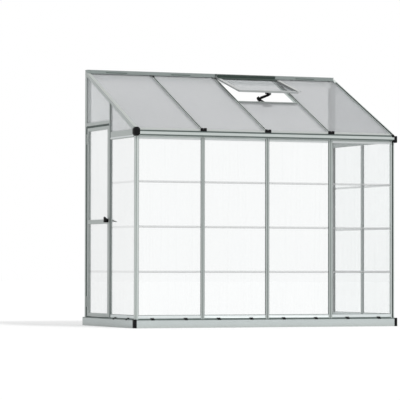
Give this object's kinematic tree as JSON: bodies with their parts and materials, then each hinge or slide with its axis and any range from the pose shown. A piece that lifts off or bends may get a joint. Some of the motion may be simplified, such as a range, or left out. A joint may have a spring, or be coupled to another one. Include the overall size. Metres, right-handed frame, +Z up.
{
  "type": "lean-to greenhouse",
  "caption": "Lean-to greenhouse with a metal frame on a low base, clear ribbed wall sheets, a sloped twin-wall roof with an opening vent on a stay, and a hinged side door.",
  "frame": {"origin": "middle of the footprint on the ground, halfway between the outer handle's end on the left and the base's right face", "axes": "+Y towards the house wall, +Z up, +X to the right along the wall; the door is on the left, -X, side and the low eave at -Y"},
  "size_m": [2.472, 1.22, 2.22],
  "materials": {
    "frame_profile": "satin, grey with a slight green tint",
    "door_profile": "satin",
    "vent_profile": "satin",
    "hinge_metal": "satin",
    "base_steel": "smooth, galvanised and painted light grey",
    "wall_sheet": "clear",
    "door_sheet": "clear",
    "roof_sheet": "translucent twin-wall",
    "gable_sheet": "translucent twin-wall",
    "black_plastic": "matt black"
  },
  "bodies": {
    "frame": {"corner_post_left": "frame_profile", "corner_post_right": "frame_profile", "front_post_1": "frame_profile", "front_post_2": "frame_profile", "front_post_3": "frame_profile", "door_post": "frame_profile", "side_post_right": "frame_profile", "rear_post_left": "frame_profile", "rear_post_right": "frame_profile", "gutter": "frame_profile", "eave_rail_left": "frame_profile", "eave_rail_right": "frame_profile", "door_lintel": "frame_profile", "gable_rake_left": "frame_profile", "gable_rake_right": "frame_profile", "roof_bar_1": "frame_profile", "roof_bar_2": "frame_profile", "roof_bar_3": "frame_profile", "ridge_beam": "frame_profile", "vent_cross_rail": "vent_profile", "hinge_leaf_lower": "hinge_metal", "hinge_leaf_upper": "hinge_metal", "base_rail_front": "base_steel", "base_rail_rear": "base_steel", "base_rail_left": "base_steel", "base_rail_right": "base_steel", "front_sheet_1": "wall_sheet", "front_sheet_2": "wall_sheet", "front_sheet_3": "wall_sheet", "front_sheet_4": "wall_sheet", "side_sheet_left": "wall_sheet", "side_sheet_right_front": "wall_sheet", "side_sheet_right_rear": "wall_sheet", "roof_sheet_1": "roof_sheet", "roof_sheet_2": "roof_sheet", "roof_sheet_3": "roof_sheet", "roof_sheet_4": "roof_sheet", "gable_sheet_left_front": "gable_sheet", "gable_sheet_left_rear": "gable_sheet", "gable_sheet_right": "gable_sheet", "base_corner_front_left": "black_plastic", "base_corner_front_right": "black_plastic", "gutter_end_cap_left": "black_plastic", "gutter_end_cap_right": "black_plastic", "bar_end_cap_1": "black_plastic", "bar_end_cap_2": "black_plastic", "bar_end_cap_3": "black_plastic"},
    "door": {"door_hinge_stile": "door_profile", "door_lock_stile": "door_profile", "door_top_rail": "door_profile", "door_mid_rail": "door_profile", "door_bottom_rail": "door_profile", "door_sheet_upper": "door_sheet", "door_sheet_lower": "door_sheet"},
    "handle": {"handle_outer": "black_plastic", "handle_inner": "black_plastic"},
    "vent": {"vent_sash": "vent_profile", "vent_sheet": "roof_sheet"},
    "stay_lower": {"stay_lower_link": "black_plastic"},
    "stay_upper": {"stay_upper_link": "black_plastic"}
  },
  "joints": [
    {"name": "door_hinge", "type": "hinge", "parent": "frame", "child": "door", "pos_m": [-1.19, 0.5665, 0.9], "axis": [0, 0, -1], "range_deg": [0, 85]},
    {"name": "handle_turn", "type": "hinge", "parent": "door", "child": "handle", "pos_m": [-1.184, 0.043, 0.905], "axis": [1, 0, 0], "range_deg": [0, 90]},
    {"name": "vent_hinge", "type": "hinge", "parent": "frame", "child": "vent", "pos_m": [0.31225, 0.54925, 2.19572], "axis": [-1, 0, 0], "range_deg": [-9, 5]},
    {"name": "stay_lower", "type": "hinge", "parent": "frame", "child": "stay_lower", "pos_m": [0.33225, 0.09102, 1.92852], "axis": [0, 0.9065, 0.4222], "range_deg": [-22.5, 12.5]},
    {"name": "stay_elbow", "type": "hinge", "parent": "stay_lower", "child": "stay_upper", "pos_m": [0.23128, 0.07364, 1.97389], "axis": [0, 0.9065, 0.4222], "range_deg": [-25, 45]}
  ],
  "couplings": [
    {"joint": "stay_lower", "follows": "vent_hinge", "ratio": 2.5},
    {"joint": "stay_elbow", "follows": "vent_hinge", "ratio": -5}
  ]
}
